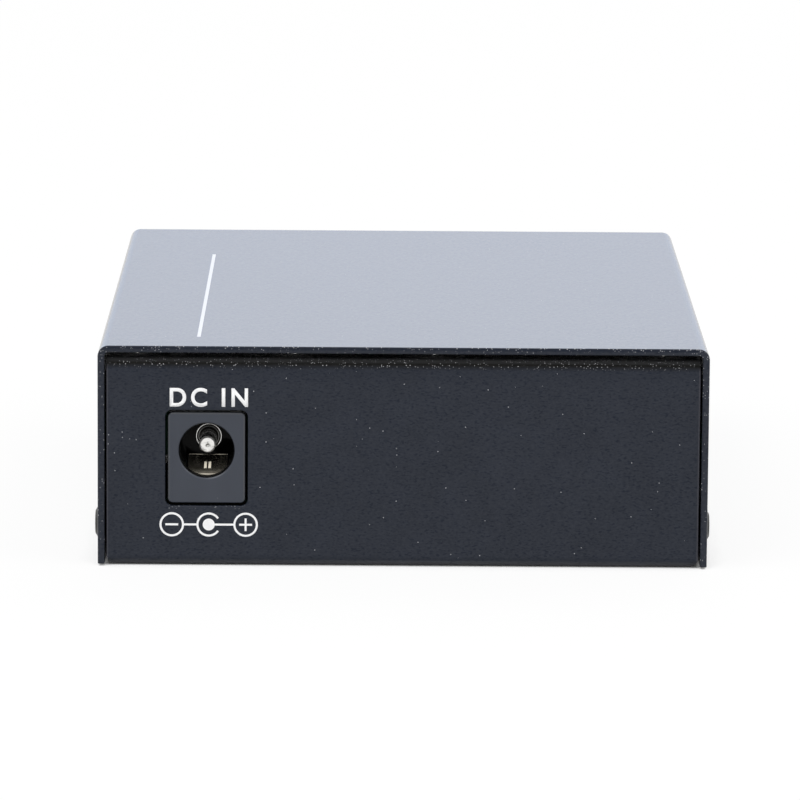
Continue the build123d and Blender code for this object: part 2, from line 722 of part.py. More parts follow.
def optical_sleeve(x):
    """The round sleeve that stands on the latch insert and takes the fibre ferrule."""
    profile = [
        (0, 0),
        (SLEEVE_RADIUS, 0),
        (SLEEVE_RADIUS, SLEEVE_LENGTH),
        (FERRULE_RADIUS, SLEEVE_LENGTH),
        (FERRULE_RADIUS, SLEEVE_FLOOR),
        (0, SLEEVE_FLOOR),
    ]
    return turned(profile, (x, insert_front, port_axis), (0, 1, 0))


def module_pins():
    """The single row of solder pins under the back of the transceiver."""
    y = fibre_back + MODULE_PIN_INSET
    first = fibre_x - (MODULE_PIN_COUNT - 1) * MODULE_PIN_PITCH / 2
    return [(first + i * MODULE_PIN_PITCH, y) for i in range(MODULE_PIN_COUNT)]


def module_studs():
    """The two posts that steady the transceiver in the board."""
    y = fibre_front - MODULE_STUD_PLACE
    return [(fibre_x - MODULE_STUD_SPACING / 2, y), (fibre_x + MODULE_STUD_SPACING / 2, y)]


def square_posts(places, side):
    """Square posts that pass the board and end at its upper face."""
    half = side / 2
    return group(block((x - half, y - half, lead_end), (x + half, y + half, board_top)) for x, y in places)


# Status lights


def status_led(x, z):
    """A rectangular light: a plain body through the port panel, with a flange behind its holder."""
    half, high = LED_WIDTH / 2, LED_HEIGHT / 2
    led = block((x - half, holder_back, z - high), (x + half, led_tip, z + high))
    half, high = half + LED_FLANGE_LIP, high + LED_FLANGE_LIP
    return led + block((x - half, holder_back - LED_FLANGE, z - high), (x + half, holder_back, z + high))


def led_holder():
    """The block that carries the lights behind the port panel."""
    half = (led_columns - 1) * LED_COLUMN_PITCH / 2 + LED_WIDTH / 2 + LED_HOLDER_WALL
    high = led_places[-1][1] + LED_HEIGHT / 2 + LED_HOLDER_WALL
    holder = block((led_x - half, holder_back, board_top), (led_x + half, holder_front, high))
    for x, z, _ in led_places:
        bore = Box(LED_WIDTH + 2 * LED_FIT, 4 * LED_HOLDER_DEPTH, LED_HEIGHT + 2 * LED_FIT)
        holder -= Pos(x, holder_back, z) * bore
    return holder


def led_lead_places():
    """Where each light's two leads pass the board, as (x, y, height of the light)."""
    back = holder_back - LED_FLANGE
    return [
        (x + side * LEAD_SPACING / 2, back - LEAD_REACH - row * LEAD_REACH_STEP, z)
        for x, z, row in led_places
        for side in (-1, 1)
    ]


def led_leads():
    """The lights' square leads, bent down into the board."""
    back = holder_back - LED_FLANGE
    half = LEAD_SQUARE / 2
    leads = []
    for x, y, z in led_lead_places():
        run = block((x - half, y - half, z - half), (x + half, back, z + half))
        leads.append(run + block((x - half, y - half, lead_end), (x + half, y + half, z + half)))
    return group(leads)


# Parts soldered to the board


def gull_lead(width):
    """A bent lead that leaves a body at x = 0 and stands its foot on the board."""
    half = LEAD_SHEET / 2
    middle = LEAD_SPAN - LEAD_FOOT
    outline = mitred([(0, LEAD_RISE), (middle, LEAD_RISE), (middle, half), (LEAD_SPAN, half)], LEAD_SHEET)
    return extrude(Plane.XZ * outline, amount=width / 2, both=True)


def lead_row(place, turn, offset_out, count, pitch, width):
    """A row of gull-wing leads along one side of a body, that side facing the given turn about Z."""
    lead = gull_lead(width)
    return [
        Pos(*place, board_top) * Rot(0, 0, turn) * Pos(offset_out, (i - (count - 1) / 2) * pitch, 0) * lead
        for i in range(count)
    ]


def board_block(place, length, width, height):
    """A moulded body that sits just above the board."""
    return Pos(*place, board_top + SEAT_GAP + height / 2) * Box(length, width, height)


def converter_chip():
    """The converter chip: a flat leadless package soldered down by pads on its underside."""
    return Pos(*CHIP_PLACE, board_top + CHIP_HEIGHT / 2) * Box(CHIP_SIDE, CHIP_SIDE, CHIP_HEIGHT)


def lead_rows(place, turns, offset_out, count, pitch, width):
    """Rows of gull-wing leads along several sides of a body, as one group."""
    return group(lead for turn in turns for lead in lead_row(place, turn, offset_out, count, pitch, width))


def transformer_leads():
    """Leads on the two long sides of the pulse transformer."""
    out = TRANSFORMER_WIDTH / 2
    return lead_rows(transformer_place, (90, 270), out, TRANSFORMER_LEADS, TRANSFORMER_PITCH, LEAD_WIDTH)


def regulator_leads():
    """Three leads on one side of the regulator and its wide heat tab on the other."""
    out = REGULATOR_WIDTH / 2
    leads = lead_row(regulator_place, 270, out, REGULATOR_LEADS, REGULATOR_PITCH, 2 * LEAD_WIDTH)
    return group(leads + lead_row(regulator_place, 90, out, 1, REGULATOR_PITCH, REGULATOR_TAB_WIDTH))


def capacitor_leads():
    """Two wide leads at the ends of each filter capacitor."""
    leads = []
    for place in capacitor_places:
        for turn in (90, 270):
            leads += lead_row(place, turn, CAPACITOR_LENGTH / 2, 1, CAPACITOR_WIDTH, CAPACITOR_LEAD_WIDTH)
    return group(leads)


def crystal():
    """The crystal: a ceramic base with a smaller metal lid."""
    x, y = CRYSTAL_PLACE
    half, wide = CRYSTAL_LENGTH / 2, CRYSTAL_WIDTH / 2
    middle = board_top + CRYSTAL_BASE
    base = block((x - half, y - wide, board_top), (x + half, y + wide, middle))
    half, wide = half - CRYSTAL_RIM, wide - CRYSTAL_RIM
    return base + block((x - half, y - wide, middle), (x + half, y + wide, middle + CRYSTAL_LID))


def chip_passives():
    """A row of chip resistors and capacitors behind the transceiver."""
    body = Pos(0, 0, board_top + PASSIVE_HEIGHT / 2) * Box(PASSIVE_WIDTH, PASSIVE_LENGTH, PASSIVE_HEIGHT)
    return group(Pos(x, passive_y, 0) * body for x in passive_xs)


def make_nodes():
    """Every piece of the converter by name."""
    nodes = {
        "top_cover": top_cover(),
        "base_chassis": base_chassis(),
        "cover_screws": group(cover_screw(side, y) for side, y in screw_sides),
        "board_standoffs": group(standoff(*place, place in board_screw_places) for place in standoff_places),
        "board_screws": group(board_screw(x, y) for x, y in board_screw_places),
        "circuit_board": circuit_board(),
        "power_jack_body": jack_body(),
        "power_jack_pin": jack_pin(),
        "power_jack_sleeve_spring": jack_sleeve_spring(),
        "rj45_shield": rj45_shield(),
        "rj45_housing": rj45_housing(),
        "rj45_contacts": rj45_contacts(),
        "transceiver_body": fibre_body(),
        "transceiver_pins": square_posts(module_pins(), MODULE_PIN),
        "transceiver_studs": square_posts(module_studs(), MODULE_STUD),
        "led_holder": led_holder(),
        "led_leads": led_leads(),
        "converter_chip": converter_chip(),
        "pulse_transformer": board_block(
            transformer_place, TRANSFORMER_LENGTH, TRANSFORMER_WIDTH, TRANSFORMER_HEIGHT
        ),
        "pulse_transformer_leads": transformer_leads(),
        "voltage_regulator": board_block(
            regulator_place, REGULATOR_LENGTH, REGULATOR_WIDTH, REGULATOR_HEIGHT
        ),
        "voltage_regulator_leads": regulator_leads(),
        "protection_diode": board_block(diode_place, DIODE_LENGTH, DIODE_WIDTH, DIODE_HEIGHT),
        "protection_diode_leads": lead_rows(
            diode_place, (0, 180), DIODE_LENGTH / 2, 1, DIODE_WIDTH, DIODE_LEAD_WIDTH
        ),
        "filter_capacitor_leads": capacitor_leads(),
        "crystal": crystal(),
        "chip_passives": chip_passives(),
    }
    for name, x in zip(("transmit", "receive"), port_xs):
        nodes[f"{name}_latch_insert"] = latch_insert(x)
        nodes[f"{name}_optical_sleeve"] = optical_sleeve(x)
    for number, (x, z, _) in enumerate(led_places, 1):
        nodes[f"status_led_{number}"] = status_led(x, z)
    for number, place in enumerate(capacitor_places, 1):
        nodes[f"filter_capacitor_{number}"] = board_block(
            place, CAPACITOR_WIDTH, CAPACITOR_LENGTH, CAPACITOR_HEIGHT
        )
    return nodes


def main():
    os.makedirs("parts", exist_ok=True)
    for name, shape in make_nodes().items():
        export_step(shape, f"parts/{name}.step")


main()
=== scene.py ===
import math

import bmesh
import bpy
from mathutils import Matrix, Vector


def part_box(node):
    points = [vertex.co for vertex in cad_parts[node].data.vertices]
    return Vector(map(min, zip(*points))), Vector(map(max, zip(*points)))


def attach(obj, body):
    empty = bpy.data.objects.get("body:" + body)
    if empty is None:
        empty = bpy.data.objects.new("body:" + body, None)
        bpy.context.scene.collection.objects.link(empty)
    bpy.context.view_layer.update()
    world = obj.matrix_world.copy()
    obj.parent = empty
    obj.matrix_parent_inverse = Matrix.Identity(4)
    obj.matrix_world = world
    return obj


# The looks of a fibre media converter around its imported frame. Metres, +Z up, power panel facing -Y.

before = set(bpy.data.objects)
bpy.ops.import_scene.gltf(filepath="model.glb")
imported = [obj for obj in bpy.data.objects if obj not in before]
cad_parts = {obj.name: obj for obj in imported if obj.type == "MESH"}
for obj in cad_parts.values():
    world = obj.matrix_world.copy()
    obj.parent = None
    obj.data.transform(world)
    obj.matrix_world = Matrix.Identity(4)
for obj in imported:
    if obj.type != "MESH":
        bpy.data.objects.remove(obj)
bpy.context.view_layer.update()

MM = 0.001

# Camera, at the angle and distance of the photograph
CAMERA_PLACE = Vector((-3.2, -729.0, 139.0)) * MM
CAMERA_HEADING = math.radians(0.235)
CAMERA_TILT = math.radians(9.911)
CAMERA_ROLL = math.radians(0.41)
CAMERA_LENS = 268.6
SENSOR = 36.0

# Surroundings and lamps
FLOOR_SIDE = 8.0
FLOOR_DROP = 0.02 * MM
FLOOR_COLOUR = (0.9, 0.9, 0.9, 1.0)
FLOOR_SHARE_OF_WHITE = 0.9
GAP_REACH = 6 * MM
GAP_CLOSED = 0.15
GAP_OPEN = 0.45
GAP_SAMPLES = 4
SURROUND_LEVEL = 0.6
WHITE = (1.0, 1.0, 1.0, 1.0)
LAMPS = {
    "key_softbox": {"place": (-0.55, -0.6, 1.2), "side": 0.9, "power": 9.0},
    "fill_softbox": {"place": (0.9, -0.5, 0.9), "side": 0.9, "power": 4.0},
    "back_softbox": {"place": (0.2, 1.0, 1.0), "side": 0.8, "power": 4.0},
}

# Rounded edges, by node: width of the rounding and its steps
PAINTED_EDGE = (0.2 * MM, 3)
MOULDED_EDGE = (0.12 * MM, 2)
PRESSED_EDGE = (0.05 * MM, 2)
EDGES = {
    "top_cover": PAINTED_EDGE,
    "base_chassis": (0.14 * MM, 3),
    "cover_screws": (0.14 * MM, 3),
    "power_jack_body": (0.14 * MM, 3),
    "power_jack_pin": (0.16 * MM, 3),
    "power_jack_sleeve_spring": PRESSED_EDGE,
    "rj45_shield": PRESSED_EDGE,
    "rj45_housing": MOULDED_EDGE,
    "transceiver_body": MOULDED_EDGE,
    "transmit_latch_insert": MOULDED_EDGE,
    "receive_latch_insert": MOULDED_EDGE,
    "transmit_optical_sleeve": MOULDED_EDGE,
    "receive_optical_sleeve": MOULDED_EDGE,
    "led_holder": MOULDED_EDGE,
}
LED_EDGE = (0.3 * MM, 3)

# These nodes get the whole width on every edge; on the others the shortest edge limits it
FULL_ROUNDING = ("top_cover", "base_chassis", "power_jack_body", "transceiver_body")

# Which edges are rounded: sharp ones, on the base above its floor's folds and on the jack near its face
ROUNDED_ABOVE = math.radians(32)
FLOOR_FOLD = 1.35 * MM
FACE_DEPTH = 0.02 * MM
FAR = 1.0

# Clean-up of the meshes before the rounding and of their normals after it
SAME_POINT = 0.001 * MM
FLAT_BELOW = math.radians(0.5)
FLAT_FACE_WEIGHT = 90

# Power jack: sizes that its finishes follow
JACK_AXIS_RISE = 6.2 * MM
BORE_RADIUS = 3.15 * MM
BORE_SHADE = 0.1 * MM
BORE_GLOSS = 0.14
JACK_HIGHLIGHT_RIM = 0.26 * MM
PIN_RADIUS = 1.0 * MM
PIN_SKIN = 0.06 * MM
ROOT_RADIUS = 1.5 * MM
ROOT_EDGE = 0.07 * MM
ROOT_LINE = (0.16 * MM, 0.22 * MM)
ROOT_LINE_SHARE = 0.2
NOSE_LENGTH = 0.6 * MM
NOSE_FLATNESS = 0.42
NOSE_RIM = (0.76 * PIN_RADIUS, 0.9 * PIN_RADIUS)
NOSE_RIM_METAL = 0.1
LEAF_FOLD = 0.85 * MM
LEAF_FOLD_RIDGE = 0.6 * MM
LEAF_CREST = 6.5 * MM
LEAF_CREST_RIDGE = 0.27 * MM
LEAF_STEEPNESS = 2.6
LEAF_FRONT_METAL = 0.55
LEAF_BACK_METAL = 0.85
BEAD_START = 2.3 * MM
BEAD_LENGTH = 2.0 * MM
BEAD_PITCH = 0.5 * MM
BEAD_WIDTH = 0.46 * MM
BEAD_STEEPNESS = 1.2
ROOT_PAINTED_SHADE = (0.005, 0.0045, 0.004, 1.0)

# Case: reach of its worn paint, painted shade, painted light and painted highlights, and of its specks of
# wear and painted glints, from the cut edges, over the folds and below the jack
WORN_EDGE = 0.3 * MM
WORN_LIP = 0.5 * MM
CORNER_WEAR_AND_GLINT = 1.1 * MM
FOLD_SHADE_START = 3.2 * MM
FOLD_SHADE_FULL = 0.8 * MM
FOLD_WEAR_START = 1.28 * MM
FOLD_WEAR_FULL = 0.64 * MM
PAINTED_LIGHT_FOLD = 0.55 * MM
SILL_WEAR_AND_GLINT = 0.62 * MM
PANEL_HIGHLIGHT_REACH = 0.24 * MM
TOP_SHEEN = 0.42
TOP_SKIN = 0.1 * MM
DUST_AND_GLINT = (0.75, 0.76, 0.8, 1.0)
BARE_STEEL_AND_GLINT = (0.52, 0.52, 0.54, 1.0)

# White ink on the power panel
INK_THICKNESS = 0.012 * MM
LETTERING = "DC IN"
LETTER_HEIGHT = 2.25 * MM
LETTER_WIDTH = 9.1 * MM
LETTER_GAP = 0.7 * MM
LETTER_WEIGHT = 0.024
LETTER_SPACING = 1.3
WORD_SPACING = 0.8
PRINT_OFFSET = 0.27 * MM
SYMBOL_DROP = 2.5 * MM
SYMBOL_PITCH = 4.3 * MM
SYMBOL_RING = 1.43 * MM
SYMBOL_STROKE = 0.24 * MM
SYMBOL_DOT = 0.7 * MM
SYMBOL_OPENING = math.radians(68)
SIGN_REACH = 0.75 * MM
RING_STEPS = 64

# White rule on the cover's top
RULE_X = -23.95 * MM
RULE_WIDTH = 0.42 * MM
RULE_ENDS = (-40.2 * MM, 24.9 * MM)

# Materials: ranges of noises and angles, the stretch of drawn marks, and the board's tracks and skin
NOISE_RANGE = (0.3, 0.7)
PIT_RANGE = (0.56, 0.7)
PIT_GLOSS = 0.52
GLOSS_ANGLES = (0.45, 0.84)
DRAWN_ALONG_Y = (1, 0.08, 1)
TRACK_PITCH = 2.5 * MM
TRACK_SHARE = 0.05
BOARD_SKIN = 0.05 * MM


# Node helpers


class Shading:
    """A material under construction: its node tree, its main shader and short ways to add nodes."""

    def __init__(self, name):
        self.material = bpy.data.materials.new(name)
        self.material.use_nodes = True
        self.tree = self.material.node_tree
        self.shader = self.tree.nodes["Principled BSDF"]
        self.place = self.add("ShaderNodeTexCoord").outputs["Object"]

    def add(self, kind, **settings):
        node = self.tree.nodes.new(kind)
        for key, value in settings.items():
            setattr(node, key, value)
        return node

    def link(self, source, target):
        self.tree.links.new(source, target)

    def set(self, **values):
        """Sets constant values on the main shader, with spaces in socket names written as underscores."""
        for key, value in values.items():
            self.shader.inputs[key.replace("_", " ")].default_value = value

    def noise(self, size, detail=2.0, stretch=(1, 1, 1)):
        """Noise whose features are about this many metres across."""
        mapping = self.add("ShaderNodeMapping")
        mapping.inputs["Scale"].default_value = stretch
        self.link(self.place, mapping.inputs["Vector"])
        node = self.add("ShaderNodeTexNoise")
        node.inputs["Scale"].default_value = 1 / size
        node.inputs["Detail"].default_value = detail
        self.link(mapping.outputs["Vector"], node.inputs["Vector"])
        return node.outputs["Fac"]

    def spread(self, noise, to_low=0.0, to_high=1.0):
        """Stretches the middle range of a noise over two limits."""
        return self.remap(noise, *NOISE_RANGE, to_low, to_high)

    def remap(self, value, low, high, to_low=0.0, to_high=1.0):
        node = self.add("ShaderNodeMapRange")
        self.link(value, node.inputs["Value"])
        for key, number in zip(("From Min", "From Max", "To Min", "To Max"), (low, high, to_low, to_high)):
            node.inputs[key].default_value = number
        return node.outputs["Result"]

    def math(self, operation, first, second=0.0):
        node = self.add("ShaderNodeMath", operation=operation)
        for socket, value in zip(node.inputs, (first, second)):
            if isinstance(value, (int, float)):
                socket.default_value = value
            else:
                self.link(value, socket)
        return node.outputs["Value"]

    def axis(self, name):
        """One of the X, Y and Z coordinates, in metres."""
        parts = self.add("ShaderNodeSeparateXYZ")
        self.link(self.place, parts.inputs["Vector"])
        return parts.outputs[name]

    def radius(self, x, z):
        """The distance from an axis that runs along Y."""
        across = self.math("SUBTRACT", self.axis("X"), x)
        up = self.math("SUBTRACT", self.axis("Z"), z)
        squares = self.math("ADD", self.math("MULTIPLY", across, across), self.math("MULTIPLY", up, up))
        return self.math("SQRT", squares)

    def between(self, value, low, high):
        """A mask that is 1 where a value lies between two limits."""
        above = self.math("GREATER_THAN", value, low)
        return self.math("MULTIPLY", above, self.math("LESS_THAN", value, high))

    def feed(self, socket, source):
        """Links a node's output to a named socket of the main shader."""
        self.link(source, self.shader.inputs[socket])

    def fed(self, socket):
        """The output that a named socket of the main shader takes."""
        return self.shader.inputs[socket].links[0].from_socket

    def mix(self, share, first, second):
        """Mixes two colours, each a constant or another node's output."""
        node = self.add("ShaderNodeMix", data_type="RGBA")
        self.link(share, node.inputs["Factor"])
        for socket, value in zip((node.inputs[6], node.inputs[7]), (first, second)):
            if isinstance(value, tuple):
                socket.default_value = value
            else:
                self.link(value, socket)
        return node.outputs[2]

    def bump(self, height, strength, depth, below=None):
        """Adds relief to the main shader, on top of another relief if one is given."""
        node = self.add("ShaderNodeBump")
        node.inputs["Strength"].default_value = strength
        node.inputs["Distance"].default_value = depth
        self.link(height, node.inputs["Height"])
        if below is not None:
            self.link(below, node.inputs["Normal"])
        self.link(node.outputs["Normal"], self.shader.inputs["Normal"])
        return node.outputs["Normal"]


def colour(red, green, blue):
    return (red, green, blue, 1.0)


def jack_axis():
    """The x and z of the power jack's bore."""
    low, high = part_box("power_jack_body")
    return (low.x + high.x) / 2, low.z + JACK_AXIS_RISE


# Materials


def specks(shading, spacing, radius, share):
    """Small round specks of varied brightness, one in some of the cells of this spacing."""
    cells = shading.add("ShaderNodeTexVoronoi")
    cells.inputs["Scale"].default_value = 1 / spacing
    shading.link(shading.place, cells.inputs["Vector"])
    chance = shading.add("ShaderNodeSeparateColor")
    shading.link(cells.outputs["Color"], chance.inputs["Color"])
    near = shading.math("LESS_THAN", cells.outputs["Distance"], radius / spacing)
    here = shading.math("MULTIPLY", near, shading.math("LESS_THAN", chance.outputs["Red"], share))
    return shading.math("MULTIPLY", here, chance.outputs["Green"])


def satin_gloss(shading):
    """A clear gloss that grows towards grazing views, as on the skin of a baked powder coat."""
    angle = shading.add("ShaderNodeLayerWeight")
    shading.feed("Coat Weight", shading.remap(angle.outputs["Facing"], *GLOSS_ANGLES))
    shading.set(Coat_Roughness=0.22, Coat_IOR=1.75)


def powder_coat(name):
    """Blue-black powder coat: pebbled and pitted, with pale specks that are partly dust and partly painted
    glints.
    """
    shading = Shading(name)
    mottle = shading.spread(shading.noise(3.0 * MM, detail=3.0))
    paint = shading.mix(mottle, colour(0.009, 0.0125, 0.022), colour(0.012, 0.016, 0.027))
    # Pale specks: partly dust, partly painted glints.
    dust = specks(shading, spacing=0.8 * MM, radius=0.05 * MM, share=0.28)
    shading.feed("Base Color", shading.mix(dust, paint, DUST_AND_GLINT))

    grain = shading.noise(0.24 * MM, detail=3.0, stretch=(0.6, 1, 1))
    pit_noise = shading.noise(0.26 * MM, detail=1.0, stretch=(0.6, 1, 1.3))
    pits = shading.remap(pit_noise, *PIT_RANGE, 1.0, PIT_GLOSS)
    gloss = shading.spread(grain, 0.4, 0.6)
    shading.feed("Specular IOR Level", shading.math("MULTIPLY", pits, gloss))
    shading.feed("Roughness", shading.spread(grain, 0.3, 0.42))
    pebbles = shading.bump(grain, strength=0.3, depth=0.05 * MM)
    shading.bump(shading.noise(1.1 * MM, detail=2.0), strength=0.2, depth=0.06 * MM, below=pebbles)
    shading.set(IOR=1.38)
    satin_gloss(shading)
    return shading


def rub(shading, where, tone):
    """Turns the colour to another tone where a mask is 1."""
    shading.feed("Base Color", shading.mix(where, shading.fed("Base Color"), tone))


def dull(shading, where, share, socket="Specular IOR Level"):
    """Keeps only this share of the gloss, or of another socket's value, where a mask is 1."""
    kept = shading.remap(where, 0, 1, 1, share)
    shading.feed(socket, shading.math("MULTIPLY", shading.fed(socket), kept))


def strew(shading, where, share):
    """Strews bright specks over the colour where a mask allows it: partly bare steel, as on worn paint, and
    partly painted glints.
    """
    # These specks are partly wear and partly painted glints.
    bare = specks(shading, spacing=0.22 * MM, radius=0.06 * MM, share=share)
    rub(shading, shading.math("MULTIPLY", where, bare), BARE_STEEL_AND_GLINT)


def chassis_paint():
    """The powder coat of the base: painted highlights down the end panels' side edges, gloss dulled as
    painted shade below the folds, folds worn matt with their tops painted lighter as painted light, and
    specks of wear and painted glints on the folds and below the jack.
    """
    shading = powder_coat("chassis_paint")
    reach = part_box("base_chassis")[1]
    across = shading.math("ABSOLUTE", shading.axis("X"))
    along = shading.math("ABSOLUTE", shading.axis("Y"))
    up = shading.axis("Z")
    # A lighter line down the panel's side edges: a painted highlight.
    ends = shading.math("GREATER_THAN", along, reach.y - PANEL_HIGHLIGHT_REACH)
    rim = shading.remap(across, reach.x - PANEL_HIGHLIGHT_REACH, reach.x - PANEL_HIGHLIGHT_REACH / 2)
    rub(shading, shading.math("MULTIPLY", ends, rim), colour(0.052, 0.053, 0.066))

    low_fold = shading.remap(up, 0, FLOOR_FOLD, 1, 0)
    dull(shading, low_fold, share=0.5)
    dull(shading, low_fold, share=0.2, socket="Coat Weight")
    shade = shading.remap(up, reach.z - FOLD_SHADE_START, reach.z - FOLD_SHADE_FULL)
    dull(shading, shade, share=0.84)
    fold = shading.remap(up, reach.z - FOLD_WEAR_START, reach.z - FOLD_WEAR_FULL)
    rub(shading, fold, colour(0.009, 0.0088, 0.0085))
    dull(shading, fold, share=0.2)
    # The fold's upper part, under the cover's lip, is painted paler towards the top: painted light.
    bare = shading.remap(up, reach.z - PAINTED_LIGHT_FOLD, reach.z - PAINTED_LIGHT_FOLD / 3)
    rub(shading, bare, colour(0.068, 0.069, 0.071))
    strew(shading, fold, share=0.5)

    # Specks below the jack's window: partly wear, partly painted glints.
    jack_low, jack_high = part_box("power_jack_body")
    under = shading.between(up, jack_low.z - SILL_WEAR_AND_GLINT, jack_low.z)
    beside = shading.between(shading.axis("X"), jack_low.x, jack_high.x)
    power_end = shading.math("LESS_THAN", shading.axis("Y"), 0.0)
    sill = shading.math("MULTIPLY", shading.math("MULTIPLY", under, beside), power_end)
    strew(shading, sill, share=0.7)
    return shading


def cover_paint():
    """The powder coat of the cover, its cut edges and top corners strewn with specks of wear and painted
    glints, with a printed white rule along the top.
    """
    shading = powder_coat("cover_paint")
    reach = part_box("top_cover")[1]
    up = shading.axis("Z")
    along = shading.math("ABSOLUTE", shading.axis("Y"))
    edge = shading.remap(along, reach.y - WORN_EDGE, reach.y - WORN_EDGE / 2)
    lip = shading.math("MULTIPLY", edge, shading.remap(up, reach.z - WORN_LIP, reach.z - WORN_LIP / 2))
    dull(shading, lip, share=0.45)
    # Specks along the cut edges and top corners: partly wear, partly painted glints.
    strew(shading, lip, share=0.45)
    strew(shading, edge, share=0.15)
    across = shading.math("ABSOLUTE", shading.axis("X"))
    corner_side = shading.remap(across, reach.x - 2 * CORNER_WEAR_AND_GLINT, reach.x - CORNER_WEAR_AND_GLINT)
    corner = shading.math("MULTIPLY", corner_side, shading.math("GREATER_THAN", up, reach.z - CORNER_WEAR_AND_GLINT))
    strew(shading, shading.math("MULTIPLY", edge, corner), share=0.7)

    upper = shading.remap(up, reach.z - WORN_LIP, reach.z - WORN_LIP / 10)
    shading.feed("Sheen Weight", shading.math("MULTIPLY", upper, TOP_SHEEN))
    shading.set(Sheen_Roughness=0.35, Sheen_Tint=colour(0.2, 0.45, 1.0))
    rule_width = shading.between(shading.axis("X"), RULE_X - RULE_WIDTH / 2, RULE_X + RULE_WIDTH / 2)
    rule_length = shading.between(shading.axis("Y"), *RULE_ENDS)
    on_top = shading.math("GREATER_THAN", up, reach.z - TOP_SKIN)
    rule = shading.math("MULTIPLY", shading.math("MULTIPLY", rule_width, rule_length), on_top)
    rub(shading, rule, colour(0.88, 0.89, 0.9))
    return shading


def white_ink():
    """Screen-printed ink: a thin matt white film, a little uneven."""
    shading = Shading("white_ink")
    patch = shading.spread(shading.noise(0.4 * MM, detail=3.0))
    shading.feed("Base Color", shading.mix(patch, colour(0.9, 0.9, 0.91), colour(0.95, 0.95, 0.95)))
    shading.set(Roughness=0.55, IOR=1.4)
    shading.bump(shading.noise(0.15 * MM, detail=3.0), strength=0.2, depth=0.01 * MM)
    return shading


def moulded_plastic(name, dark, light, roughness, grain=0.25 * MM, gloss=0.5):
    """Moulded plastic: faint flow mottling and a very fine mould texture."""
    shading = Shading(name)
    flow = shading.spread(shading.noise(2.2 * MM, detail=3.0, stretch=(1, 1, 0.4)))
    shading.feed("Base Color", shading.mix(flow, dark, light))
    fine = shading.noise(grain, detail=4.0)
    shading.feed("Roughness", shading.spread(fine, roughness - 0.05, roughness + 0.07))
    shading.bump(fine, strength=0.1, depth=0.02 * MM)
    shading.set(IOR=1.5, Specular_IOR_Level=gloss)
    return shading


def metal(name, dark, light, roughness, stretch=(1, 1, 1), grain=0.2 * MM):
    """Plated or drawn metal: fine drawing marks along one way and slow tarnish."""
    shading = Shading(name)
    tarnish = shading.spread(shading.noise(1.5 * MM, detail=3.0))
    shading.feed("Base Color", shading.mix(tarnish, dark, light))
    marks = shading.noise(grain, detail=3.0, stretch=stretch)
    shading.feed("Roughness", shading.spread(marks, roughness * 0.7, roughness * 1.4))
    shading.bump(marks, strength=0.1, depth=0.006 * MM)
    shading.set(Metallic=1.0)
    return shading


def jack_plastic():
    """The jack's slate-black moulding, with painted highlights along the edges of its face and painted
    shade inside its bore.
    """
    shading = moulded_plastic(
        "jack_moulding", colour(0.027, 0.033, 0.048), colour(0.031, 0.038, 0.054), roughness=0.34
    )
    low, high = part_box("power_jack_body")
    aside = shading.math("ABSOLUTE", shading.math("SUBTRACT", shading.axis("X"), jack_axis()[0]))
    # A paler rim along the face's sides and top: a painted highlight.
    side = (high.x - low.x) / 2
    sides = shading.remap(aside, side - JACK_HIGHLIGHT_RIM, side - JACK_HIGHLIGHT_RIM / 2)
    top = shading.remap(shading.axis("Z"), high.z - JACK_HIGHLIGHT_RIM, high.z - JACK_HIGHLIGHT_RIM / 2)
    rub(shading, shading.math("MAXIMUM", sides, top), colour(0.056, 0.06, 0.07))
    inside = shading.between(shading.radius(*jack_axis()), 0, BORE_RADIUS + BORE_SHADE)
    rub(shading, specks(shading, spacing=0.8 * MM, radius=0.05 * MM, share=0.15), DUST_AND_GLINT)
    # Painted shade inside the bore: darker and less glossy.
    rub(shading, inside, colour(0.004, 0.0042, 0.0045))
    shading.feed("Specular IOR Level", shading.remap(inside, 0, 1, 0.5, BORE_GLOSS))
    return shading


def pin_nickel():
    """Nickel: a dented bright nose with a dull rim, and a shaft and root face darkened with painted shade,
    the root's edge left bright.
    """
    shading = metal("pin_nickel", colour(0.78, 0.77, 0.74), colour(0.92, 0.91, 0.88), roughness=0.2)
    radius = shading.radius(*jack_axis())
    # The root's face is darkened as painted shade, all but a thin ring kept a little lighter as a painted
    # highlight.
    shoulder = shading.between(radius, PIN_RADIUS + PIN_SKIN, ROOT_RADIUS - ROOT_EDGE)
    line = shading.between(radius, PIN_RADIUS + ROOT_LINE[0], PIN_RADIUS + ROOT_LINE[1])
    rub(shading, shading.math("SUBTRACT", shoulder, shading.math("MULTIPLY", line, ROOT_LINE_SHARE)), ROOT_PAINTED_SHADE)

    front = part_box("power_jack_pin")[0].y + NOSE_LENGTH
    nose = shading.math("LESS_THAN", shading.axis("Y"), front)
    # The shaft behind the nose is darkened as painted shade.
    shaft = shading.math("SUBTRACT", shading.math("LESS_THAN", radius, PIN_RADIUS + PIN_SKIN), nose)
    rub(shading, shaft, colour(0.006, 0.005, 0.0045))
    rim = shading.math("MULTIPLY", nose, shading.remap(radius, *NOSE_RIM))
    shading.feed("Metallic", shading.remap(rim, 0, 1, 1.0, NOSE_RIM_METAL))
    shading.feed("Roughness", shading.remap(nose, 0, 1, 0.16, 0.3))
    dents = shading.math("MULTIPLY", nose, shading.noise(0.4 * MM, detail=2.0))
    dented = shading.bump(dents, strength=0.5, depth=0.25 * MM, below=shading.fed("Normal"))
    flatter = shading.math("MULTIPLY", shading.math("MINIMUM", radius, PIN_RADIUS), NOSE_FLATNESS)
    shading.bump(flatter, strength=1.0, depth=1.0, below=dented)
    return shading


